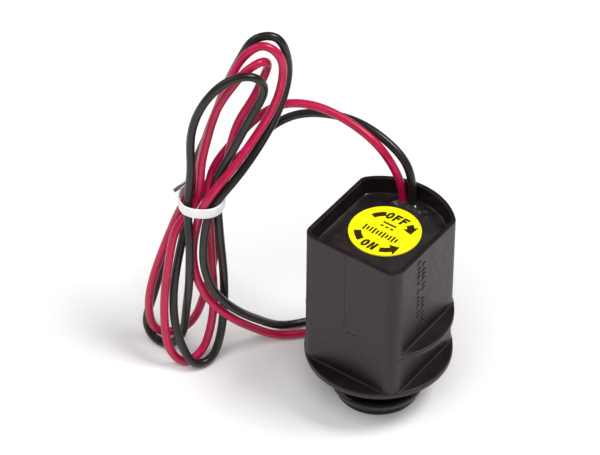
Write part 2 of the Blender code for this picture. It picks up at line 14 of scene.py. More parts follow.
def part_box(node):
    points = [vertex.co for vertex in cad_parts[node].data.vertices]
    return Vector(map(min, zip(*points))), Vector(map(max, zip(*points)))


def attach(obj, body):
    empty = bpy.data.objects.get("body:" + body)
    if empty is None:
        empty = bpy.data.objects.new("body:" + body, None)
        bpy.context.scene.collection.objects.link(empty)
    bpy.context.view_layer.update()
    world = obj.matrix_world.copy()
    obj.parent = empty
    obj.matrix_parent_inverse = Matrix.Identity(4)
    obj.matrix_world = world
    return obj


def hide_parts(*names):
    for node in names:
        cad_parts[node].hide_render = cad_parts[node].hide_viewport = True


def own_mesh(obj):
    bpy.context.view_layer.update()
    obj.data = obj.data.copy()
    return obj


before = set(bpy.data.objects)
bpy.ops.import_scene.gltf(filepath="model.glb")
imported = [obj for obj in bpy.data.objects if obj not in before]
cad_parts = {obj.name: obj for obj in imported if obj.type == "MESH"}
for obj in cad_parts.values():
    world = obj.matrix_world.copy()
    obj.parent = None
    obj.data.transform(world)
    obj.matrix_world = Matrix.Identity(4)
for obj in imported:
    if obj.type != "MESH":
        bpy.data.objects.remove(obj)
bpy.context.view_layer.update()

MM = 0.001
GAP = 0.3 * MM
BODY = "solenoid"
MOVING_BODY = "plunger"

# Places and sizes that the frame gives
CASE_HIGH = Vector(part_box("case")[1])
POTTING_LOW, POTTING_HIGH = (Vector(corner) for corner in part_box("potting_compound"))
LABEL_LOW, LABEL_HIGH = (Vector(corner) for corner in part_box("label_disc"))

# Case
CASE_WALL = 1.5 * MM
CASE_HALF_WIDTH = POTTING_HIGH.x + GAP + CASE_WALL
CASE_REAR_RADIUS = POTTING_HIGH.y + GAP + CASE_WALL
CASE_HEIGHT = CASE_HIGH.z
FRONT_CORNER_RADIUS = 3.8 * MM
REAR_BEND_RADIUS = 3.5 * MM
CUP_FLOOR_Z = 19.6 * MM
FLANGE_RADIUS = CASE_HIGH.x
SEAT_FLANGE_Z = (16.0 * MM, 18.0 * MM)
GRIP_FLANGE_Z = (31.0 * MM, 33.0 * MM)
FILLET = 0.8 * MM
FLANGE_EDGE = 0.45 * MM
GRIP_FLANGE_START = math.radians(-44.0)
GRIP_FLANGE_FULL = math.radians(-26.0)
THREAD_CREST_RADIUS = 13.8 * MM
THREAD_ROOT_RADIUS = 11.8 * MM
THREAD_PITCH = 3.0 * MM
THREAD_Z = (6.0 * MM, 15.2 * MM)
THREAD_FADE = 1.2 * MM
SEAT_FACE_INNER_RADIUS = 15.0 * MM
SEAT_RELIEF_DEPTH = 0.4 * MM
BOSS_LIP_RADIUS = 12.8 * MM
BOSS_LIP_HEIGHT = 2.4 * MM
RING_GROOVE_RADIUS = 11.3 * MM
PLUNGER_WELL_RADIUS = 7.6 * MM
PLUNGER_WELL_DEPTH = 12.9 * MM
TUBE_RADIUS = 4.9 * MM
TUBE_BORE_RADIUS = 4.4 * MM

# Mould marks: a line and two pips on the front, two columns of ticks on the right
PARTING_LINE_X = -1.4 * MM
PARTING_LINE_HEIGHT = 0.1 * MM
GATE_PIPS = [(0.2 * MM, 35.3 * MM), (2.4 * MM, 35.3 * MM)]
PIP_RADIUS = 0.35 * MM
PIP_HEIGHT = 0.25 * MM
TICK_COLUMNS_Y = (-2.6 * MM, -5.0 * MM)
TICKS_IN_COLUMN = 15
TICK_LOW_Z = 36.0 * MM
TICK_SPACING = 1.9 * MM
TICK_HEIGHT = 0.22 * MM

# Plunger and its spring
PLUNGER_STEM_RADIUS = 4.1 * MM
COLLAR_THICKNESS = 1.6 * MM
SPRING_WIRE_RADIUS = 0.4 * MM
SPRING_TURNS = 4.5

# Leads, with their route in millimetres in the hank's frame
LEAD_RADIUS = 1.3 * MM
LEAD_START_Z = POTTING_LOW.z
RED_EXIT = (-4.5 * MM, 17.3 * MM)
BLACK_EXIT = (-1.3 * MM, 17.9 * MM)
HANK_TURN = math.radians(35.0)
TIE_CENTRE = (-53.5, 19.3, 57.5)
TIE_LIFT = 0.6 * MM
TIE_HALF_WIDTH = 1.8 * MM
TIE_THICKNESS = 0.5 * MM
TIE_REACH = 12.0 * MM
TIE_CORE_RADIUS = 0.6 * MM
TIP_STRANDS = 7
TIP_STRAND_RADIUS = 0.2 * MM
TIP_STRAND_PITCH = 7.0 * MM
TIP_START_INSIDE = 0.6 * MM

RED_ROUTE = [
    (3.5, 18.0, 72.5), (-2.5, 20.5, 80.5), (-11.0, 25.0, 85.0), (-21.0, 28.5, 87.5), (-30.5, 30.0, 86.0),
    (-38.0, 29.5, 80.5), (-45.0, 27.5, 72.5), (-50.5, 24.5, 64.0), (-51.5, 19.0, 57.5), (-51.0, 18.5, 47.0),
    (-50.5, 18.0, 33.5), (-50.0, 16.5, 20.0), (-51.5, 13.5, 8.5), (-54.5, 11.0, 2.5), (-58.5, 8.5, 1.5),
    (-62.0, 8.0, 4.5), (-64.5, 9.0, 13.0), (-64.5, 11.5, 28.5), (-63.0, 14.0, 40.5), (-60.0, 17.0, 50.5),
    (-57.0, 18.0, 54.5), (-55.0, 18.5, 58.0), (-53.5, 20.0, 70.0), (-51.5, 21.5, 80.5), (-48.5, 22.5, 91.0),
    (-43.5, 23.0, 100.0), (-39.5, 23.5, 105.0), (-36.0, 25.0, 106.5), (-34.0, 28.0, 103.5), (-35.5, 28.5, 97.0),
    (-38.5, 27.0, 90.5), (-42.0, 26.0, 84.0), (-45.0, 24.0, 74.0), (-47.0, 22.3, 64.0), (-49.0, 21.1, 57.5),
    (-49.0, 22.0, 44.0), (-50.0, 21.5, 32.0), (-53.5, 20.5, 16.5), (-57.5, 20.5, 6.5), (-62.0, 20.5, 3.0),
    (-66.5, 19.5, 4.0), (-69.5, 18.0, 11.0), (-69.5, 17.5, 21.0), (-67.0, 19.0, 32.0), (-63.5, 20.5, 42.5),
    (-60.5, 21.0, 51.0), (-58.0, 20.5, 57.5), (-54.5, 23.5, 66.0), (-52.5, 25.0, 75.5), (-48.5, 26.0, 88.5),
    (-44.5, 26.5, 100.0), (-40.0, 27.0, 108.0), (-35.0, 27.0, 111.0), (-31.0, 26.5, 108.5), (-29.5, 26.0, 101.0),
    (-31.5, 24.5, 92.0), (-37.0, 22.0, 81.5), (-45.0, 17.5, 70.5), (-53.5, 14.5, 57.5), (-54.8, 15.6, 51.0),
    (-56.0, 16.0, 42.0), (-55.5, 14.5, 33.5), (-52.0, 12.5, 25.0), (-45.5, 12.0, 17.5), (-37.5, 16.0, 8.5),
    (-30.0, 19.5, 2.6), (-22.5, 21.5, 1.5), (-13.0, 23.0, 1.4), (-4.0, 23.5, 1.4), (5.0, 22.5, 1.4),
]
BLACK_ROUTE = [
    (7.5, 17.5, 73.5), (1.5, 21.5, 79.5), (-7.0, 26.5, 82.5), (-16.5, 30.5, 82.5), (-26.0, 32.0, 80.5),
    (-34.5, 30.5, 75.5), (-41.5, 28.0, 68.5), (-48.8, 25.4, 61.5), (-52.0, 23.5, 57.5), (-54.5, 25.5, 53.0),
    (-59.0, 25.5, 45.5), (-63.5, 24.0, 35.0), (-66.5, 22.5, 25.0), (-69.5, 22.0, 13.0), (-70.5, 20.5, 5.0),
    (-68.0, 18.0, 2.0), (-64.0, 16.0, 1.8), (-60.5, 15.0, 5.5), (-58.5, 14.5, 15.5), (-57.5, 13.0, 27.0),
    (-57.0, 12.0, 38.0), (-57.0, 13.0, 47.0), (-57.5, 16.0, 57.5), (-56.5, 18.0, 71.5), (-56.5, 18.5, 81.0),
    (-54.5, 19.0, 91.0), (-50.0, 19.5, 99.0), (-44.0, 20.0, 104.0), (-38.0, 20.5, 104.5), (-35.0, 21.5, 100.0),
    (-36.5, 21.5, 93.5), (-41.0, 21.0, 83.5), (-46.0, 20.5, 72.0), (-49.2, 19.4, 63.0), (-48.8, 17.8, 57.0),
    (-48.0, 17.0, 46.0), (-47.0, 16.5, 31.5), (-47.0, 15.0, 17.0), (-48.5, 11.5, 7.0), (-51.0, 9.0, 2.5),
    (-55.0, 6.5, 2.5), (-59.0, 7.0, 8.0), (-61.5, 9.5, 16.0), (-62.0, 13.0, 26.0), (-60.5, 16.5, 37.0),
    (-58.5, 19.5, 46.0), (-56.0, 22.5, 57.5), (-55.5, 26.5, 64.0), (-52.0, 28.5, 75.0), (-48.5, 29.0, 86.5),
    (-45.0, 29.5, 97.0), (-41.0, 30.0, 106.0), (-37.0, 30.0, 111.5), (-32.0, 30.0, 112.0), (-28.5, 29.5, 106.0),
    (-28.0, 29.0, 98.0), (-30.5, 27.0, 87.5), (-36.0, 24.0, 76.0), (-45.0, 17.5, 65.0), (-50.5, 15.0, 57.5),
    (-52.5, 13.0, 49.0), (-52.5, 12.0, 37.0), (-49.0, 11.5, 27.0), (-43.0, 13.0, 19.0), (-35.5, 18.5, 9.5),
    (-28.5, 23.5, 3.0), (-21.0, 27.0, 1.5), (-12.0, 29.5, 1.4), (-3.0, 30.0, 1.4), (6.0, 28.5, 1.4),
]

# The strap's two ends, from the twist behind the hank to their tips, in the hank's frame
TIE_TWIST_LEFT = [
    (-51.5, 25.6, 57.5), (-52.6, 27.2, 56.6), (-54.2, 27.4, 57.6), (-56.2, 27.0, 58.6), (-58.4, 26.0, 58.6),
    (-59.6, 25.3, 58.1),
]
TIE_CORE = [(-57.6, 26.4, 58.7), (-59.4, 25.4, 58.2), (-61.8, 24.3, 56.9)]
TIE_TWIST_RIGHT = [
    (-55.0, 25.4, 57.0), (-53.6, 26.8, 58.0), (-51.6, 27.9, 57.0), (-48.4, 28.4, 56.2), (-45.0, 27.8, 57.6),
    (-42.8, 27.4, 61.0), (-41.8, 27.2, 65.2),
]

# Label
LABEL_CENTRE = (LABEL_LOW + LABEL_HIGH) / 2
LABEL_RADIUS = (LABEL_HIGH.x - LABEL_LOW.x) / 2
LABEL_BURIED = 0.25 * MM
LABEL_EDGE = 0.05 * MM

# Resin: its rise at the wall, its waves, and its collars round the leads
MENISCUS_HEIGHT = 0.45 * MM
MENISCUS_REACH = 0.6 * MM
RESIN_WAVE_HEIGHT = 0.06 * MM
COLLAR_HEIGHT = 1.1 * MM
COLLAR_REACH = 0.8 * MM
# Lumps beside the leads: x, y and size in millimetres
RESIN_BLOBS = [(-6.6, 15.9, 0.9), (1.6, 16.6, 1.2), (3.4, 18.2, 0.8), (-2.9, 15.7, 0.8), (4.8, 16.2, 0.7)]

# Camera
CAMERA_AIM = (-38.05 * MM, 12.50 * MM, 35.71 * MM)
CAMERA_AZIMUTH = math.radians(34.97)
CAMERA_ELEVATION = math.radians(41.91)
CAMERA_ROLL = math.radians(0.586)
CAMERA_DISTANCE = 1234.5 * MM
CAMERA_LENS = 243.4

# Lights and floor
LIGHT_DISTANCE = 4.0
SKY_COLOR = (1.0, 0.965, 0.955, 1.0)
SKY_STRENGTH = 0.16
FLOOR_SIDE = 12.0


# -------------------- mesh helpers


def link_object(thing):
    bpy.context.scene.collection.objects.link(thing)


def new_piece(name, bm, material, node=None, body=BODY, sharp_angle=35.0, weighted=False):
    """Turn a bmesh into a smooth-shaded piece that rides on a body, in place of a CAD node."""
    bmesh.ops.recalc_face_normals(bm, faces=bm.faces)
    mesh = bpy.data.meshes.new(name)
    bm.to_mesh(mesh)
    bm.free()
    mesh.shade_smooth()
    mesh.set_sharp_from_angle(angle=math.radians(sharp_angle))
    mesh.materials.append(material)
    piece = bpy.data.objects.new(name, mesh)
    link_object(piece)
    if weighted:
        normals = piece.modifiers.new("flat_normals", "WEIGHTED_NORMAL")
        normals.keep_sharp = True
        normals.weight = 100
    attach(piece, body)
    if node:
        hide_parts(node)
    return piece


def skin(rings, closed=False, caps=True):
    """Skin rings of equal length. A closed skin joins the last ring to the first."""
    bm = bmesh.new()
    rows = [[bm.verts.new(point) for point in ring] for ring in rings]
    count = len(rows[0])
    pairs = list(zip(rows, rows[1:]))
    if closed:
        pairs.append((rows[-1], rows[0]))
    for lower, upper in pairs:
        for i in range(count):
            j = (i + 1) % count
            bm.faces.new((lower[i], lower[j], upper[j], upper[i]))
    if caps and not closed:
        bm.faces.new(list(reversed(rows[0])))
        bm.faces.new(rows[-1])
    return bm


def arc(radius, start, end, steps, center=(0.0, 0.0)):
    """Points on an arc in a plane, angles in degrees."""
    points = []
    for i in range(steps + 1):
        angle = math.radians(start + (end - start) * i / steps)
        points.append((center[0] + radius * math.cos(angle), center[1] + radius * math.sin(angle)))
    return points


def box_outline(left, right, low, high):
    """A rectangle by its sides."""
    return [(left, low), (right, low), (right, high), (left, high)]


def bar_outline(x, y, width, height):
    """A rectangle by its centre and size."""
    return box_outline(x - width / 2, x + width / 2, y - height / 2, y + height / 2)


def ridge_outline(low, high, middle, foot, crest):
    """A ridge's section, wider at its foot than at its crest."""
    return [(low, middle - foot), (high, middle - crest), (high, middle + crest), (low, middle + foot)]


def rounded(corners, radius, steps=4):
    """A closed outline with each corner rounded by the radius, or less where a side is short."""
    outline = []
    count = len(corners)
    for i, corner in enumerate(corners):
        here = Vector(corner)
        back = Vector(corners[i - 1]) - here
        ahead = Vector(corners[(i + 1) % count]) - here
        reach = min(radius, 0.45 * back.length, 0.45 * ahead.length)
        start = here + back.normalized() * reach
        end = here + ahead.normalized() * reach
        for k in range(steps + 1):
            t = k / steps
            point = start * (1 - t) ** 2 + here * 2 * t * (1 - t) + end * t**2
            outline.append((point.x, point.y))
    return outline


def turned(outline, segments=96):
    """Turn a closed (radius, z) outline about +Z. Points on the axis are drawn together."""
    rings = []
    for radius, z in outline:
        ring = []
        for i in range(segments):
            angle = 2.0 * math.pi * i / segments
            ring.append((radius * math.cos(angle), radius * math.sin(angle), z))
        rings.append(ring)
    bm = skin(rings, closed=True)
    bmesh.ops.remove_doubles(bm, verts=bm.verts, dist=0.0005 * MM)
    return bm


def frames_along(points):
    """A pair of directions across the path at each point, which don't twist along it."""
    tangents = []
    for i in range(len(points)):
        before = points[max(i - 1, 0)]
        after = points[min(i + 1, len(points) - 1)]
        tangents.append((after - before).normalized())
    across = tangents[0].orthogonal().normalized()
    pairs = []
    for tangent in tangents:
        across = (across - tangent * across.dot(tangent)).normalized()
        pairs.append((across, tangent.cross(across)))
    return pairs


def tube(points, section, caps=True):
    """Sweep a section along a path and store how far along and around each corner is as its UV."""
    rings = []
    for point, (across, other) in zip(points, frames_along(points)):
        rings.append([point + across * x + other * y for x, y in section])
    bm = skin(rings, caps=caps)
    uv = bm.loops.layers.uv.new("along")
    bm.verts.index_update()
    count = len(section)
    travelled = [0.0]
    for before, after in zip(points, points[1:]):
        travelled.append(travelled[-1] + (after - before).length)
    for face in bm.faces:
        if len(face.verts) != 4:
            continue
        columns = [loop.vert.index % count for loop in face.loops]
        wraps = max(columns) - min(columns) > 1
        for loop, column in zip(face.loops, columns):
            row = loop.vert.index // count
            turn = 1.0 if wraps and column == 0 else column / count
            loop[uv].uv = (travelled[row] / (10.0 * MM), turn)
    return bm


def round_section(radius, sides):
    return arc(radius, 0.0, 360.0 * (sides - 1) / sides, sides - 1)


def merge(target, source):
    """Add the second bmesh's shape to the first."""
    mesh = bpy.data.meshes.new("merge")
    source.to_mesh(mesh)
    source.free()
    target.from_mesh(mesh)
    bpy.data.meshes.remove(mesh)


def prism(outline, bottom, top):
    """A flat plate with an (x, y) outline."""
    return skin([[(x, y, z) for x, y in outline] for z in (bottom, top)])


# -------------------- material helpers


def new_material(name, base, roughness, others=()):
    """A Principled material. Returns it with its node tree and shader."""
    material = bpy.data.materials.new(name)
    material.use_nodes = True
    shader = material.node_tree.nodes["Principled BSDF"]
    for socket, value in (("Base Color", (*base, 1.0)), ("Roughness", roughness), *others):
        shader.inputs[socket].default_value = value
    material.diffuse_color = (*base, 1.0)
    return material, material.node_tree, shader


def coordinates(tree, stretch=(1.0, 1.0, 1.0), source="Object"):
    """Texture coordinates, stretched along each axis."""
    where = tree.nodes.new("ShaderNodeTexCoord")
    mapping = tree.nodes.new("ShaderNodeMapping")
    mapping.inputs["Scale"].default_value = stretch
    tree.links.new(where.outputs[source], mapping.inputs["Vector"])
    return mapping.outputs["Vector"]


def noise(tree, scale, detail=3.0, vector=None, roughness=0.5, distortion=0.0):
    node = tree.nodes.new("ShaderNodeTexNoise")
    node.inputs["Scale"].default_value = scale
    node.inputs["Detail"].default_value = detail
    node.inputs["Roughness"].default_value = roughness
    node.inputs["Distortion"].default_value = distortion
    tree.links.new(vector or coordinates(tree), node.inputs["Vector"])
    return node.outputs["Fac"]


def remap(tree, value, low, high, to_low, to_high, smooth=False):
    node = tree.nodes.new("ShaderNodeMapRange")
    node.interpolation_type = "SMOOTHSTEP" if smooth else "LINEAR"
    tree.links.new(value, node.inputs["Value"])
    ranges = zip(("From Min", "From Max", "To Min", "To Max"), (low, high, to_low, to_high))
    for socket, number in ranges:
        node.inputs[socket].default_value = number
    return node.outputs["Result"]


def math_node(tree, operation, first, second):
    node = tree.nodes.new("ShaderNodeMath")
    node.operation = operation
    for socket, value in zip(node.inputs, (first, second)):
        if isinstance(value, (int, float)):
            socket.default_value = value
        else:
            tree.links.new(value, socket)
    return node.outputs["Value"]


def mixed(tree, factor, first, second):
    """A colour between two colours, each a tuple or a socket."""
    node = tree.nodes.new("ShaderNodeMix")
    node.data_type = "RGBA"
    tree.links.new(factor, node.inputs["Factor"])
    for socket, value in ((node.inputs["A"], first), (node.inputs["B"], second)):
        if isinstance(value, tuple):
            socket.default_value = (*value, 1.0)
        else:
            tree.links.new(value, socket)
    return node.outputs["Result"]


def bump(tree, shader, *layers):
    """Stack bump layers: (height socket, strength, depth in metres)."""
    normal = None
    for height, strength, depth in layers:
        node = tree.nodes.new("ShaderNodeBump")
        node.inputs["Strength"].default_value = strength
        node.inputs["Distance"].default_value = depth
        tree.links.new(height, node.inputs["Height"])
        if normal is not None:
            tree.links.new(normal, node.inputs["Normal"])
        normal = node.outputs["Normal"]
    tree.links.new(normal, shader.inputs["Normal"])


def drift(tree, value, dark, light, low=0.3, high=0.7):
    """A colour that drifts from dark to light with the value."""
    return mixed(tree, remap(tree, value, low, high, 0.0, 1.0), dark, light)


def paint(tree, shader, tone):
    tree.links.new(tone, shader.inputs["Base Color"])


def roughen(tree, shader, value, least, most):
    """A roughness that drifts with the value."""
    tree.links.new(remap(tree, value, 0.3, 0.7, least, most), shader.inputs["Roughness"])


# -------------------- materials


def make_case_plastic():
    """Satin black glass-filled plastic: mottled, with faint flow lines and a few pale scuffs."""
    gloss = [("Specular IOR Level", 0.44), ("Specular Tint", (1.0, 0.86, 0.88, 1.0))]
    material, tree, shader = new_material("case_plastic", (0.012, 0.008, 0.008), 0.38, gloss)
    mottle = noise(tree, 420.0, 4.0, roughness=0.6)
    flow = noise(tree, 90.0, 3.0, coordinates(tree, (1.0, 1.0, 0.16)), distortion=0.8)
    scuff = noise(tree, 700.0, 6.0, coordinates(tree, (1.0, 1.0, 0.35)), roughness=0.72)
    tone = drift(tree, flow, (0.0066, 0.0042, 0.0044), (0.0125, 0.0082, 0.0086), low=0.35)
    scuffed = remap(tree, scuff, 0.66, 0.8, 0.0, 0.5, smooth=True)
    paint(tree, shader, mixed(tree, scuffed, tone, (0.055, 0.05, 0.048)))
    mottled = remap(tree, mottle, 0.3, 0.7, 0.36, 0.46)
    flowing = remap(tree, flow, 0.3, 0.7, -0.03, 0.05)
    worn = math_node(tree, "MULTIPLY", scuffed, 0.3)
    dull = math_node(tree, "ADD", math_node(tree, "ADD", mottled, flowing), worn)
    tree.links.new(dull, shader.inputs["Roughness"])
    grain = noise(tree, 3600.0, 2.0)
    bump(tree, shader, (flow, 0.18, 0.25 * MM), (mottle, 0.2, 0.05 * MM), (grain, 0.25, 0.012 * MM))
    return material


def make_resin():
    """Cast black resin: glossy, gently rippled, with a few dull flecks of dust."""
    coat = [("Coat Weight", 0.5), ("Coat Roughness", 0.08)]
    material, tree, shader = new_material("potting_resin", (0.012, 0.0115, 0.012), 0.2, coat)
    ripple = noise(tree, 170.0, 2.0, distortion=0.4)
    fleck = noise(tree, 2600.0, 3.0)
    dust = remap(tree, fleck, 0.68, 0.78, 0.0, 0.55, smooth=True)
    tone = drift(tree, ripple, (0.011, 0.0085, 0.009), (0.02, 0.0165, 0.0165))
    paint(tree, shader, mixed(tree, dust, tone, (0.06, 0.054, 0.052)))
    roughen(tree, shader, ripple, 0.17, 0.34)
    bump(tree, shader, (ripple, 0.3, 0.35 * MM), (fleck, 0.12, 0.01 * MM))
    return material


def make_label_film():
    """Bright yellow film, slightly wavy, a touch deeper towards orange in patches."""
    coat = [("Coat Weight", 0.25), ("Coat Roughness", 0.2)]
    material, tree, shader = new_material("label_film", (0.93, 0.84, 0.0), 0.34, coat)
    patch = noise(tree, 260.0, 3.0)
    grain = noise(tree, 5200.0, 2.0)
    paint(tree, shader, drift(tree, patch, (0.92, 0.83, 0.0), (0.96, 0.93, 0.002)))
    roughen(tree, shader, grain, 0.3, 0.42)
    bump(tree, shader, (patch, 0.15, 0.1 * MM), (grain, 0.08, 0.01 * MM))
    return material


def make_label_ink():
    """Black print, thin enough for the yellow to warm it."""
    gloss = [("Specular IOR Level", 0.25)]
    material, tree, shader = new_material("label_ink", (0.02, 0.012, 0.002), 0.45, gloss)
    patch = noise(tree, 1500.0, 4.0)
    paint(tree, shader, drift(tree, patch, (0.016, 0.009, 0.001), (0.055, 0.036, 0.001), 0.35, 0.75))
    roughen(tree, shader, patch, 0.32, 0.5)
    return material


def make_insulation(name, deep, light, print_color):
    """Extruded wire insulation: fine die lines along it, soft sheen and worn ticks of print."""
    gloss = [("Specular IOR Level", 0.4), ("Coat Weight", 0.12), ("Coat Roughness", 0.25)]
    material, tree, shader = new_material(name, light, 0.3, gloss)
    along = coordinates(tree, source="UV")
    lines = noise(tree, 6.0, 3.0, coordinates(tree, (0.25, 9.0, 1.0), "UV"))
    patch = noise(tree, 120.0, 3.0)
    tone = drift(tree, patch, deep, light)
    split = tree.nodes.new("ShaderNodeSeparateXYZ")
    tree.links.new(along, split.inputs["Vector"])
    turn = split.outputs["Y"]
    reach = math_node(tree, "ABSOLUTE", math_node(tree, "SUBTRACT", turn, 0.5), 0.0)
    band = remap(tree, reach, 0.045, 0.055, 1.0, 0.0)
    ticks = noise(tree, 5.5, 2.0, coordinates(tree, (3.0, 1.2, 1.0), "UV"))
    words = noise(tree, 0.55, 1.0, coordinates(tree, (1.0, 0.0, 0.0), "UV"))
    tick = remap(tree, ticks, 0.52, 0.56, 0.0, 1.0)
    word = remap(tree, words, 0.46, 0.5, 0.0, 1.0)
    inked = math_node(tree, "MULTIPLY", math_node(tree, "MULTIPLY", tick, word), band)
    inked = math_node(tree, "MULTIPLY", inked, remap(tree, patch, 0.35, 0.6, 0.15, 0.55))
    paint(tree, shader, mixed(tree, inked, tone, print_color))
    roughen(tree, shader, lines, 0.24, 0.38)
    bump(tree, shader, (patch, 0.12, 0.2 * MM), (lines, 0.2, 0.02 * MM))
    return material


def make_tie_plastic():
    """White strap plastic: slightly translucent, with a fine ribbed grain."""
    reach = (0.9 * MM, 0.8 * MM, 0.7 * MM)
    glow = [("Subsurface Weight", 0.25), ("Subsurface Radius", reach), ("Subsurface Scale", 1.0)]
    material, tree, shader = new_material("tie_plastic", (0.86, 0.87, 0.88), 0.36, glow)
    patch = noise(tree, 300.0, 3.0)
    rib = noise(tree, 900.0, 2.0, coordinates(tree, (0.2, 0.2, 3.0)))
    paint(tree, shader, drift(tree, patch, (0.8, 0.81, 0.84), (0.9, 0.9, 0.9)))
    roughen(tree, shader, patch, 0.3, 0.45)
    bump(tree, shader, (rib, 0.25, 0.04 * MM))
    return material


def make_metal(name, dark, light, roughness, stretch=(1.0, 1.0, 1.0)):
    """Bare metal with drawn or turned lines and slight tarnish."""
    material, tree, shader = new_material(name, light, roughness, [("Metallic", 1.0)])
    stain = noise(tree, 260.0, 4.0)
    lines = noise(tree, 1800.0, 2.0, coordinates(tree, stretch))
    paint(tree, shader, drift(tree, stain, dark, light))
    roughen(tree, shader, lines, roughness - 0.08, roughness + 0.1)
    bump(tree, shader, (lines, 0.2, 0.01 * MM))
    return material


def make_soft(name, dark, light, roughness, scale=600.0):
    """A moulded non-metal, such as rubber, ferrite or plain plastic, mottled and finely grained."""
    material, tree, shader = new_material(name, light, roughness)
    patch = noise(tree, scale, 4.0)
    grain = noise(tree, 4200.0, 2.0)
    paint(tree, shader, drift(tree, patch, dark, light))
    roughen(tree, shader, patch, roughness - 0.06, roughness + 0.08)
    bump(tree, shader, (patch, 0.15, 0.05 * MM), (grain, 0.2, 0.01 * MM))
    return material


def make_floor_material():
    material, tree, shader = new_material("pale_floor", (0.86, 0.85, 0.845), 0.75)
    shade = noise(tree, 6.0, 2.0)
    paint(tree, shader, mixed(tree, shade, (0.85, 0.842, 0.838), (0.87, 0.862, 0.857)))
    return material


# -------------------- camera, lights and floor


def make_camera():
    roll = Matrix.Rotation(CAMERA_ROLL, 3, "Z")
    tilt = Matrix.Rotation(math.pi / 2 - CAMERA_ELEVATION, 3, "X")
    turn = Matrix.Rotation(CAMERA_AZIMUTH, 3, "Z") @ tilt @ roll
    data = bpy.data.cameras.new("camera")
    data.lens = CAMERA_LENS
    data.sensor_width = 36.0
    data.clip_start = 0.05
    data.clip_end = 50.0
    camera = bpy.data.objects.new("camera", data)
    back = turn @ Vector((0.0, 0.0, 1.0))
    place = Vector(CAMERA_AIM) + back * CAMERA_DISTANCE
    camera.matrix_world = Matrix.Translation(place) @ turn.to_4x4()
    link_object(camera)
    bpy.context.scene.camera = camera


def make_light(name, azimuth, elevation, size, power, glossy=True):
    """A square soft light aimed at the object. Azimuth 0 is on the -Y side, 90 on the +X side."""
    data = bpy.data.lights.new(name, "AREA")
    data.shape = "SQUARE"
    data.size = size
    data.energy = power
    light = bpy.data.objects.new(name, data)
    aim = Vector(CAMERA_AIM)
    turn = math.radians(azimuth)
    rise = math.radians(elevation)
    away = Vector((math.sin(turn) * math.cos(rise), -math.cos(turn) * math.cos(rise), math.sin(rise)))
    light.location = aim + away * LIGHT_DISTANCE
    light.rotation_euler = away.to_track_quat("Z", "Y").to_euler()
    light.visible_glossy = glossy
    link_object(light)


def make_studio():
    """Even white light from above and the right, with little from the sky, over a pale floor."""
    world = bpy.data.worlds.new("studio")
    world.use_nodes = True
    background = world.node_tree.nodes["Background"]
    background.inputs["Color"].default_value = SKY_COLOR
    background.inputs["Strength"].default_value = SKY_STRENGTH
    bpy.context.scene.world = world
    bpy.context.scene.view_settings.view_transform = "Standard"
    make_light("key", 115.0, 62.0, 1.4, 112.0)
    make_light("front", 25.0, 56.0, 3.0, 108.0, glossy=False)
    make_light("left_fill", -60.0, 42.0, 2.4, 30.0)
    bm = bmesh.new()
    corners = bar_outline(0.0, 0.0, FLOOR_SIDE, FLOOR_SIDE)
    bm.faces.new([bm.verts.new((x, y, 0.0)) for x, y in corners])
    mesh = bpy.data.meshes.new("floor")
    bm.to_mesh(mesh)
    bm.free()
    mesh.materials.append(make_floor_material())
    floor = bpy.data.objects.new("floor", mesh)
    link_object(floor)


# -------------------- leads


def hank_to_case(point):
    """A point of the hank's frame, in millimetres, as a point of the case's frame, in metres."""
    turn = Matrix.Rotation(HANK_TURN, 3, "Z")
    return turn @ Vector(point) * MM


def smooth_curve(points):
    """A natural cubic spline through the points, by chord length: its value at any distance."""
    knots = np.array(points, dtype=float)
    chord = np.linalg.norm(np.diff(knots, axis=0), axis=1)
    at = np.concatenate(([0.0], np.cumsum(chord)))
    count = len(knots)
    system = np.eye(count)
    bend = np.zeros((count, 3))
    for i in range(1, count - 1):
        before, after = chord[i - 1], chord[i]
        system[i, i - 1 : i + 2] = (before, 2.0 * (before + after), after)
        bend[i] = 6.0 * ((knots[i + 1] - knots[i]) / after - (knots[i] - knots[i - 1]) / before)
    bend = np.linalg.solve(system, bend)

    def value(distance):
        i = int(min(max(np.searchsorted(at, distance) - 1, 0), count - 2))
        span = chord[i]
        left = (at[i + 1] - distance) / span
        right = (distance - at[i]) / span
        line = left * knots[i] + right * knots[i + 1]
        curve = (left**3 - left) * bend[i] + (right**3 - right) * bend[i + 1]
        return line + curve * span**2 / 6.0

    return value, at[-1]


def path_through(points, step):
    """Points of the smooth curve, about a step apart."""
    value, end = smooth_curve(points)
    count = max(2, round(end / step))
    return [Vector(value(end * i / count)) for i in range(count + 1)]


def hank_path(route, step):
    """A smooth path through points of the hank's frame."""
    return path_through([hank_to_case(point) for point in route], step)


def lead_path(exit_point, route):
    start = [Vector((*exit_point, LEAD_START_Z)), Vector((*exit_point, POTTING_HIGH.z + 4.0 * MM))]
    return path_through(start + [hank_to_case(point) for point in route], 1.15 * MM)


def make_lead(color, path, material):
    """The insulated wire, cut square at its end."""
    node = f"{color}_lead"
    bm = tube(path, round_section(LEAD_RADIUS, 22))
    return new_piece(f"{node}_wire", bm, material, node)


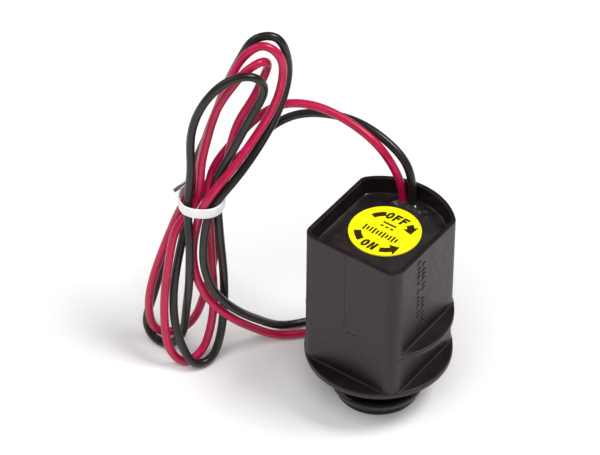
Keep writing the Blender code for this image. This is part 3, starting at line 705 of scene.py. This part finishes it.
def make_tip(color, path, material):
    """Bare strands, twisted together, on from the lead's cut end."""
    node = f"{color}_lead_tip"
    low, high = (Vector(corner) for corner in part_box(node))
    along = (path[-1] - path[-3]).normalized()
    start = path[-1] - along * TIP_START_INSIDE
    length = (high - low).length - 1.0 * MM  # the box is longer by the tip's thickness
    across = along.orthogonal().normalized()
    other = along.cross(across)
    bm = bmesh.new()
    steps = 28
    for strand in range(TIP_STRANDS):
        offset = 0.0 if strand == 0 else 2.0 * TIP_STRAND_RADIUS
        uneven = 0.25 * MM * (strand % 3)
        points = []
        for i in range(steps + 1):
            reach = (length + TIP_START_INSIDE - uneven) * i / steps
            angle = math.radians(60.0 * strand) + 2.0 * math.pi * reach / TIP_STRAND_PITCH
            swell = 1.0 + 0.12 * math.sin(3.0 * strand + 5.0 * i / steps)
            sideways = (across * math.cos(angle) + other * math.sin(angle)) * offset * swell
            points.append(start + along * reach + sideways)
        merge(bm, tube(points, round_section(TIP_STRAND_RADIUS, 10)))
    return new_piece(f"{node}_strands", bm, material, node)


def strap_loop(paths, center, steps):
    """A smooth loop round the strands, as pairs: a point from the strap's centre, the way out."""
    strands = []
    for path in paths:
        for point in path:
            offset = point - center
            if abs(offset.z) <= TIE_HALF_WIDTH and offset.to_2d().length < TIE_REACH:
                strands.append(offset.to_2d())
    turns = [2.0 * math.pi * i / steps for i in range(steps)]
    reach = np.array(
        [max(p.x * math.cos(turn) + p.y * math.sin(turn) for p in strands) for turn in turns]
    )
    width = steps // 16
    smooth = np.mean([np.roll(reach, shift) for shift in range(-width, width + 1)], axis=0)
    smooth += LEAD_RADIUS + GAP
    slope = (np.roll(smooth, -1) - np.roll(smooth, 1)) / (turns[2] - turns[0])
    loop = []
    for turn, support, change in zip(turns, smooth, slope):
        outward = Vector((math.cos(turn), math.sin(turn)))
        along = Vector((-math.sin(turn), math.cos(turn)))
        loop.append((outward * support + along * change, outward))
    return loop


def make_tie(paths, material, core_metal):
    """A strap pulled tight, its ends twisted behind the strands, one with its wire core bare."""
    center = hank_to_case(TIE_CENTRE) + Vector((0.0, 0.0, TIE_LIFT))
    edge = 0.25 * MM
    section = ridge_outline(0.0, TIE_THICKNESS, 0.0, TIE_HALF_WIDTH, TIE_HALF_WIDTH - 0.1 * MM)
    section = rounded(section, edge, 3)
    rings = []
    for base, outward in strap_loop(paths, center, 144):
        rings.append([center + Vector((*(base + outward * depth), height)) for depth, height in section])
    bm = skin(rings, closed=True)
    flat = rounded(bar_outline(0.0, 0.0, 1.6 * MM, 0.6 * MM), edge, 3)
    for route in (TIE_TWIST_LEFT, TIE_TWIST_RIGHT):
        merge(bm, tube(hank_path(route, 0.5 * MM), flat))
    strap = new_piece("lead_tie_strap", bm, material, "lead_tie", sharp_angle=60.0)
    bm = tube(hank_path(TIE_CORE, 0.3 * MM), round_section(TIE_CORE_RADIUS, 12))
    return [strap, new_piece("lead_tie_core", bm, core_metal, "lead_tie")]


def make_cords(tinned):
    red = make_insulation("red_insulation", (0.36, 0.002, 0.032), (0.55, 0.007, 0.08), (0.2, 0.01, 0.02))
    black = make_insulation(
        "black_insulation", (0.008, 0.0068, 0.0068), (0.02, 0.0165, 0.0165), (0.4, 0.39, 0.38)
    )
    ends = {"red": (RED_EXIT, RED_ROUTE, red), "black": (BLACK_EXIT, BLACK_ROUTE, black)}
    paths = {color: lead_path(exit_point, route) for color, (exit_point, route, _) in ends.items()}
    dull = make_metal("tie_core_wire", (0.16, 0.14, 0.12), (0.34, 0.31, 0.28), 0.45)
    tie = make_tie(list(paths.values()), make_tie_plastic(), dull)
    for color, (exit_point, _, material) in ends.items():
        path = paths[color]
        pieces = [make_tip(color, path, tinned)]
        if color == "red":
            pieces += tie
        make_lead(color, path, material)


# -------------------- case


def case_bend_y():
    """Y of the centre of the bend between a side flat and the rear arc."""
    reach = CASE_REAR_RADIUS - REAR_BEND_RADIUS
    return math.sqrt(reach**2 - (CASE_HALF_WIDTH - REAR_BEND_RADIUS) ** 2)


def case_corner_angles(inset=0.0):
    """Polar angles where the right half of the outline changes from one curve to the next."""
    flat = CASE_HALF_WIDTH - inset
    corner = CASE_HALF_WIDTH - FRONT_CORNER_RADIUS
    bend_y = case_bend_y()
    return (
        math.atan2(-flat, corner),
        math.atan2(-corner, flat),
        math.atan2(bend_y, flat),
        math.atan2(bend_y, CASE_HALF_WIDTH - REAR_BEND_RADIUS),
    )


def ray_to_circle(dx, dy, cx, cy, radius):
    """Far distance at which a ray from the axis crosses a circle."""
    middle = dx * cx + dy * cy
    return middle + math.sqrt(max(0.0, middle**2 - cx**2 - cy**2 + radius**2))


def case_radius(angle, inset=0.0):
    """Distance from the axis to the D-shaped outline, moved inwards by inset."""
    across = abs(math.cos(angle))
    along = math.sin(angle)
    front, side, bend, rear = case_corner_angles(inset)
    folded = math.atan2(along, across)
    flat = CASE_HALF_WIDTH - inset
    if folded <= front:
        return flat / -along
    if folded <= side:
        corner = CASE_HALF_WIDTH - FRONT_CORNER_RADIUS
        return ray_to_circle(across, along, corner, -corner, FRONT_CORNER_RADIUS - inset)
    if folded <= bend:
        return flat / across
    if folded <= rear:
        center = CASE_HALF_WIDTH - REAR_BEND_RADIUS
        return ray_to_circle(across, along, center, case_bend_y(), REAR_BEND_RADIUS - inset)
    return CASE_REAR_RADIUS - inset


def case_angles(fine=1):
    """Directions that every ring of the case is cut at: closer together round the corners."""
    front, side, bend, rear = case_corner_angles()
    right = list(np.linspace(-math.pi / 2, front, 10 * fine + 1))
    parts = ((front, side, 12), (side, bend, 26), (bend, rear, 8), (rear, math.pi / 2, 22))
    for start, end, steps in parts:
        right += list(np.linspace(start, end, steps * fine + 1))[1:]
    left = [math.pi - angle for angle in reversed(right[1:-1])]
    return right + left


def thread_radius(angle, z):
    """A right-hand thread with rounded crests, as a wave that climbs one pitch in each turn."""
    phase = (z - THREAD_Z[0]) / THREAD_PITCH - angle / (2.0 * math.pi)
    wave = 0.5 + 0.5 * math.cos(2.0 * math.pi * phase)
    ridge = min(1.0, max(0.0, 1.6 * wave - 0.3))
    ridge = ridge * ridge * (3.0 - 2.0 * ridge)
    fade = min(1.0, (z - THREAD_Z[0]) / THREAD_FADE, (THREAD_Z[1] - z) / THREAD_FADE)
    return THREAD_ROOT_RADIUS + (THREAD_CREST_RADIUS - THREAD_ROOT_RADIUS) * ridge * max(0.0, fade)


def case_rings():
    """The case's skin as rings, from the mouth of the well, up its outside and down its inside."""
    angles = case_angles()

    def ring(radius, z):
        radii = [radius(a) if callable(radius) else radius for a in angles]
        return [(r * math.cos(a), r * math.sin(a), z) for r, a in zip(radii, angles)]

    def grip_flange(angle):
        """A round flange that grows out of the body behind each front corner."""
        folded = math.atan2(math.sin(angle), abs(math.cos(angle)))
        growth = (folded - GRIP_FLANGE_START) / (GRIP_FLANGE_FULL - GRIP_FLANGE_START)
        growth = min(1.0, max(0.0, growth))
        body = case_radius(angle)
        return body + (FLANGE_RADIUS - body) * growth**2 * (3.0 - 2.0 * growth)

    def flange(edge, bottom, top):
        """Rings up over a flange, with a fillet where the body meets each face."""

        def limited(offset):
            return lambda a: min(edge(a), case_radius(a) + offset)

        def edge_less(inset):
            return lambda a: max(case_radius(a), edge(a) - inset)

        rings = []
        for x, y in arc(FILLET, 180.0, 90.0, 5, (FILLET, -FILLET)):
            rings.append(ring(limited(x), bottom + y))
        for start, z in ((-90.0, bottom + FLANGE_EDGE), (0.0, top - FLANGE_EDGE)):
            for x, y in arc(FLANGE_EDGE, start, start + 90.0, 4):
                rings.append(ring(edge_less(FLANGE_EDGE - x), z + y))
        for x, y in arc(FILLET, -90.0, -180.0, 5, (FILLET, FILLET)):
            rings.append(ring(limited(x), top + y))
        return rings

    edge = 0.35 * MM
    rings = [ring(PLUNGER_WELL_RADIUS, edge), ring(PLUNGER_WELL_RADIUS + edge, 0.0)]
    blunt = 0.5 * MM
    for x, y in arc(blunt, -90.0, 0.0, 4, (BOSS_LIP_RADIUS - blunt, blunt)):
        rings.append(ring(x, y))
    blunt = 0.2 * MM
    for x, y in arc(blunt, 0.0, 90.0, 3, (BOSS_LIP_RADIUS - blunt, BOSS_LIP_HEIGHT - blunt)):
        rings.append(ring(x, y))
    rings.append(ring(RING_GROOVE_RADIUS, BOSS_LIP_HEIGHT + 0.1 * MM))
    rings.append(ring(RING_GROOVE_RADIUS, THREAD_Z[0] - 0.2 * MM))
    for z in np.linspace(THREAD_Z[0], THREAD_Z[1], 61):
        rings.append(ring(lambda angle, z=z: thread_radius(angle, z), float(z)))
    seat_bottom, seat_top = SEAT_FLANGE_Z
    relief = seat_bottom + SEAT_RELIEF_DEPTH
    rings.append(ring(THREAD_ROOT_RADIUS, relief - 0.3 * MM))
    rings.append(ring(THREAD_ROOT_RADIUS + 0.3 * MM, relief))
    rings.append(ring(SEAT_FACE_INNER_RADIUS, relief))
    rings.append(ring(SEAT_FACE_INNER_RADIUS, seat_bottom))
    for start, z in ((-90.0, seat_bottom + FLANGE_EDGE), (0.0, seat_top - FLANGE_EDGE)):
        for x, y in arc(FLANGE_EDGE, start, start + 90.0, 4):
            rings.append(ring(FLANGE_RADIUS - FLANGE_EDGE + x, z + y))
    for x, y in arc(FILLET, -90.0, -180.0, 5, (FILLET, FILLET)):
        rings.append(ring(lambda a, x=x: min(FLANGE_RADIUS, case_radius(a) + x), seat_top + y))
    rings += flange(grip_flange, *GRIP_FLANGE_Z)
    for x, y in arc(edge, 0.0, 90.0, 4):
        rings.append(ring(lambda a, x=x: case_radius(a, edge - x), CASE_HEIGHT - edge + y))
    for x, y in arc(edge, 90.0, 180.0, 4):
        rings.append(ring(lambda a, x=x: case_radius(a, CASE_WALL - edge - x), CASE_HEIGHT - edge + y))
    rings.append(ring(lambda a: case_radius(a, CASE_WALL), POTTING_LOW.z))
    rings.append(ring(lambda a: case_radius(a, CASE_WALL), CUP_FLOOR_Z))
    rings.append(ring(TUBE_RADIUS + GAP, CUP_FLOOR_Z))
    rings.append(ring(TUBE_RADIUS + GAP, PLUNGER_WELL_DEPTH))
    rings.append(ring(PLUNGER_WELL_RADIUS, PLUNGER_WELL_DEPTH))
    return rings


def make_case(material):
    bm = skin(case_rings(), closed=True)
    bmesh.ops.remove_doubles(bm, verts=bm.verts, dist=0.002 * MM)
    new_piece("case_moulding", bm, material, "case", weighted=True)


def make_case_marks(material):
    """A parting line and two gate pips on the front, and two columns of raised ticks."""
    bm = bmesh.new()
    front = -CASE_HALF_WIDTH
    sunk = 0.1 * MM
    ridge = ridge_outline(front + sunk, front - PARTING_LINE_HEIGHT, PARTING_LINE_X, 0.22 * MM, 0.1 * MM)
    outline = [(x, y) for y, x in ridge]
    merge(bm, prism(outline, GRIP_FLANGE_Z[1] + 3.0 * MM, CASE_HEIGHT - 0.8 * MM))
    for center in GATE_PIPS:
        rings = []
        for rise, share in ((-0.3, 1.0), (0.4, 0.95), (0.8, 0.7), (1.0, 0.3)):
            circle = arc(share * PIP_RADIUS, 0.0, 330.0, 11, center)
            rings.append([(x, front - rise * PIP_HEIGHT, z) for x, z in circle])
        merge(bm, skin(rings))
    side = CASE_HALF_WIDTH
    for row, y in enumerate(TICK_COLUMNS_Y):
        ridge = ridge_outline(side - sunk, side + TICK_HEIGHT, y, 0.75 * MM, 0.65 * MM)
        outline = rounded(ridge, 0.1 * MM, 2)
        for i in range(TICKS_IN_COLUMN):
            if (3 * i + row) % 7 == 0:
                continue  # a space, as between words
            z = TICK_LOW_Z + TICK_SPACING * i
            tall = (0.5 + 0.35 * ((2 * i + row) % 3)) * MM
            merge(bm, prism(outline, z, z + tall))
    new_piece("case_mould_marks", bm, material)


# -------------------- potting and label


def potting_height(x, y, wall_distance):
    """The resin's top: flat under the label, climbing at the walls and round the leads."""
    away = math.hypot(x - LABEL_CENTRE.x, y - LABEL_CENTRE.y) - LABEL_RADIUS
    clear = min(1.0, max(0.0, away / (2.5 * MM)))
    height = POTTING_HIGH.z + MENISCUS_HEIGHT * math.exp(-wall_distance / MENISCUS_REACH)
    wave = math.sin(900.0 * x + 1.0) * math.sin(760.0 * y + 0.4)
    height += clear * RESIN_WAVE_HEIGHT * wave
    for center in (RED_EXIT, BLACK_EXIT):
        distance = math.hypot(x - center[0], y - center[1])
        ring = (distance - LEAD_RADIUS) / COLLAR_REACH
        height += COLLAR_HEIGHT * math.exp(-max(0.0, ring) ** 2) * clear
    for bx, by, size in RESIN_BLOBS:
        distance = math.hypot(x - bx * MM, y - by * MM)
        height += 0.55 * size * MM * math.exp(-((distance / (size * MM)) ** 2)) * clear
    return height


def make_potting(material):
    inset = CASE_WALL + 0.01 * MM
    angles = case_angles(2)

    def ring(share, height=None):
        points = []
        for angle in angles:
            reach = case_radius(angle, inset)
            x, y = share * reach * math.cos(angle), share * reach * math.sin(angle)
            z = potting_height(x, y, (1.0 - share) * reach) if height is None else height
            points.append((x, y, z))
        return points

    rings = [ring(0.02, POTTING_LOW.z), ring(0.999, POTTING_LOW.z)]
    steps = 70
    rings += [ring(1.0 - 0.985 * (i / steps) ** 1.6) for i in range(steps + 1)]  # closer at the wall
    bm = skin(rings)
    new_piece("potting_resin_fill", bm, material, "potting_compound", sharp_angle=60.0)


def arc_plate(radius, width, start, end):
    """A curved bar, angles in degrees."""
    outer = arc(radius + width / 2, start, end, 10)
    return outer + arc(radius - width / 2, end, start, 10)


def arrow_head(radius, start, end, width):
    """A triangle that points along a circle, from one angle to another."""
    corners = []
    for reach, angle in ((radius - width / 2, start), (radius + width / 2, start), (radius, end)):
        turn = math.radians(angle)
        corners.append((reach * math.cos(turn), reach * math.sin(turn)))
    return corners


def letter_strokes(letter, width, height, stroke):
    """The outlines that make a plain capital, from its lower left corner."""
    if letter == "O":
        middle = (width / 2, height / 2)
        outlines = []
        steps = 20
        for i in range(steps):
            wedge = []
            for inset, angles in ((0.0, (i, i + 1)), (stroke, (i + 1, i))):
                for k in angles:
                    angle = 2.0 * math.pi * k / steps
                    x = middle[0] + (width / 2 - inset) * math.cos(angle)
                    wedge.append((x, middle[1] + (height / 2 - inset) * math.sin(angle)))
            outlines.append(wedge)
        return outlines
    stem = box_outline(0.0, stroke, 0.0, height)
    if letter == "F":
        low = 0.42 * height
        top = box_outline(stroke, width, height - stroke, height)
        return [stem, top, box_outline(stroke, 0.85 * width, low, low + stroke)]
    right = width - stroke
    drop = 1.6 * stroke
    slant = [(stroke, height), (stroke, height - drop), (right, 0.0), (right, drop)]
    return [stem, box_outline(right, width, 0.0, height), slant]


def word_outlines(word, center, height, stroke):
    """A word's outlines, leaning a little to the right."""
    width = 0.64 * height
    space = 0.13 * height
    lean = 0.14
    total = len(word) * width + (len(word) - 1) * space
    outlines = []
    for i, letter in enumerate(word):
        left = center[0] - total / 2 + i * (width + space)
        for outline in letter_strokes(letter, width, height, stroke):
            leaning = [(left + x + lean * (y - height / 2), center[1] + y - height / 2) for x, y in outline]
            outlines.append(leaning)
    return outlines


def label_print():
    """Everything printed on the label, as outlines round the label's centre."""
    radius = LABEL_RADIUS
    ring = 0.71 * radius
    outlines = word_outlines("OFF", (0.01 * radius, 0.59 * radius), 0.3 * radius, 0.075 * radius)
    outlines += word_outlines("ON", (-0.045 * radius, -0.7 * radius), 0.31 * radius, 0.078 * radius)
    outlines += [
        arc_plate(0.68 * radius, 0.17 * radius, 121.0, 153.0),
        arc_plate(0.74 * radius, 0.2 * radius, 213.0, 242.0),
        arc_plate(ring, 0.2 * radius, 53.0, 42.0),
        arrow_head(ring, 42.0, 22.0, 0.43 * radius),
        arc_plate(0.78 * radius, 0.18 * radius, 293.0, 316.0),
        arrow_head(0.78 * radius, 316.0, 335.0, 0.4 * radius),
    ]
    bar = 0.06 * radius
    sign_y = 0.21 * radius
    outlines.append(bar_outline(-0.03 * radius, sign_y + 1.2 * bar, 0.42 * radius, bar))
    for i in range(3):
        outlines.append(bar_outline((i - 1.2) * 0.155 * radius, sign_y - 1.2 * bar, 0.1 * radius, bar))
    for i in range(11):
        tall = (0.24, 0.16, 0.2)[i % 3] * radius
        outlines.append(bar_outline((i - 5.3) * 0.102 * radius, -0.17 * radius, 0.055 * radius, tall))
    return outlines


def make_label(film, ink):
    top = LABEL_HIGH.z
    low = LABEL_LOW.z - LABEL_BURIED
    outline = [(0.0, low), (LABEL_RADIUS, low), (LABEL_RADIUS, top - LABEL_EDGE)]
    outline += [(LABEL_RADIUS - 1.2 * LABEL_EDGE, top), (0.0, top)]
    bm = turned(outline, 128)
    bmesh.ops.translate(bm, verts=bm.verts, vec=(LABEL_CENTRE.x, LABEL_CENTRE.y, 0.0))
    label = new_piece("label_yellow_film", bm, film, "label_disc")
    label.visible_diffuse = False  # keeps its yellow off the walls and leads round it
    label.visible_glossy = False
    bm = bmesh.new()
    for outline in label_print():
        placed = [(LABEL_CENTRE.x + x, LABEL_CENTRE.y + y) for x, y in outline]
        merge(bm, prism(placed, top - 0.02 * MM, top + 0.025 * MM))
    new_piece("label_print", bm, ink)


# -------------------- working parts


def turned_part(node, corners, edge, material, body=BODY):
    """A turned piece with broken edges, in place of its plain CAD node."""
    new_piece(f"{node}_fine", turned(rounded(corners, edge, 3)), material, node, body)


def make_working_parts(tinned):
    steel = make_metal("plated_steel", (0.46, 0.46, 0.47), (0.66, 0.66, 0.66), 0.32, (1.0, 1.0, 12.0))
    spring_steel = make_metal("spring_steel", (0.5, 0.5, 0.5), (0.7, 0.7, 0.69), 0.26)
    brass = make_metal("brass", (0.62, 0.45, 0.17), (0.8, 0.62, 0.28), 0.28, (1.0, 1.0, 12.0))
    copper = make_metal("copper_wire", (0.5, 0.16, 0.06), (0.8, 0.34, 0.16), 0.3, (1.0, 1.0, 6.0))
    rubber = make_soft("seal_rubber", (0.009, 0.009, 0.009), (0.018, 0.018, 0.018), 0.55)
    ferrite = make_soft("ferrite", (0.035, 0.035, 0.038), (0.07, 0.07, 0.074), 0.5)
    natural = make_soft("natural_plastic", (0.68, 0.62, 0.5), (0.78, 0.73, 0.61), 0.42, 300.0)
    amber = make_soft("coil_tape", (0.62, 0.4, 0.03), (0.8, 0.6, 0.08), 0.3, 300.0)

    def span(node):
        """A round node's radius, bottom and top."""
        low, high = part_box(node)
        return high[0], low[2], high[2]

    radius, bottom, top = span("base_ring_seal")
    section = (top - bottom) / 2
    ring = arc(section, 0.0, 345.0, 23, (radius - section, (bottom + top) / 2))
    glossy_rubber = make_soft("ring_seal_rubber", (0.006, 0.0055, 0.0055), (0.012, 0.011, 0.011), 0.24)
    new_piece("base_ring_seal_fine", turned(ring, 128), glossy_rubber, "base_ring_seal")

    radius, bottom, top = span("plunger_seal")
    corners = box_outline(0.0, radius, bottom, top)
    turned_part("plunger_seal", corners, 0.5 * MM, rubber, MOVING_BODY)
    pocket = radius + GAP
    pocket_top = top + GAP
    radius, bottom, top = span("plunger")
    stem = PLUNGER_STEM_RADIUS
    collar_top = bottom + COLLAR_THICKNESS
    corners = [(0.0, pocket_top), (pocket, pocket_top), (pocket, bottom), (radius, bottom)]
    corners += [(radius, collar_top), (stem, collar_top), (stem, top), (0.0, top)]
    turned_part("plunger", corners, 0.3 * MM, steel, MOVING_BODY)

    radius, bottom, top = span("guide_tube")
    flare_top = bottom + 0.8 * MM
    corners = [(TUBE_BORE_RADIUS, bottom), (radius, bottom), (radius, flare_top)]
    corners += [(TUBE_RADIUS, flare_top), (TUBE_RADIUS, top), (TUBE_BORE_RADIUS, top)]
    turned_part("guide_tube", corners, 0.2 * MM, brass)

    bore = TUBE_RADIUS + GAP
    plain_rings = [
        ("plunger_retainer", 4.2 * MM, 0.25 * MM, natural, "natural_plastic"),
        ("lower_flux_washer", bore, 0.25 * MM, steel, "plated_steel"),
        ("yoke_tube", span("yoke_tube")[0] - 1.2 * MM, 0.2 * MM, steel, "plated_steel"),
        ("fixed_core", 0.0, 0.4 * MM, steel, "plated_steel"),
        ("latching_magnet", 0.0, 0.4 * MM, ferrite, "ferrite"),
        ("magnet_cap", 0.0, 0.3 * MM, steel, "plated_steel"),
        ("winding_tape", span("coil_winding")[0] + GAP, 0.1 * MM, amber, "coil_tape"),
    ]
    for node, hole, edge, material, slot in plain_rings:
        turned_part(node, box_outline(hole, *span(node)), edge, material)

    radius, bottom, top = span("coil_bobbin")
    core = bore + 1.0 * MM
    flange = 1.2 * MM
    corners = [(bore, bottom), (radius, bottom), (radius, bottom + flange), (core, bottom + flange)]
    corners += [(core, top - flange), (radius, top - flange), (radius, top), (bore, top)]
    turned_part("coil_bobbin", corners, 0.2 * MM, natural)
    make_winding(span("coil_winding"), core + GAP, copper)
    make_spring(spring_steel)

    for node, metal in (("upper_flux_plate", steel), ("red_terminal", tinned), ("black_terminal", tinned)):
        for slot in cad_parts[node].material_slots:
            slot.material = metal


def make_winding(size, bore, material):
    """The copper winding, its outside scalloped by the wire's turns."""
    radius, bottom, top = size
    turns = 40
    wire = (top - bottom) / turns / 2
    outside = []
    for i in range(turns):
        outside += arc(wire, -80.0, 80.0, 3, (radius - wire, bottom + (2 * i + 1) * wire))
    bm = turned([(bore, top), (bore, bottom)] + outside, 72)
    new_piece("coil_winding_turns", bm, material, "coil_winding")


def make_spring(material):
    """A coil spring of even pitch."""
    low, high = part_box("plunger_spring")
    wire = SPRING_WIRE_RADIUS
    radius = high[0] - wire
    bottom = low[2] + wire
    top = high[2] - wire
    steps = round(SPRING_TURNS * 40)
    points = []
    for i in range(steps + 1):
        angle = 2.0 * math.pi * SPRING_TURNS * i / steps
        z = bottom + (top - bottom) * (i / steps)
        points.append(Vector((radius * math.cos(angle), radius * math.sin(angle), z)))
    bm = tube(points, round_section(wire, 12))
    spring = new_piece("plunger_spring_coil", bm, material, "plunger_spring")
    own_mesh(spring)


# -------------------- assembly

make_camera()
make_studio()
tinned_copper = make_metal("tinned_copper", (0.55, 0.5, 0.44), (0.78, 0.76, 0.73), 0.3)
make_cords(tinned_copper)
case_plastic = make_case_plastic()
make_case(case_plastic)
make_case_marks(case_plastic)
make_potting(make_resin())
make_label(make_label_film(), make_label_ink())
make_working_parts(tinned_copper)
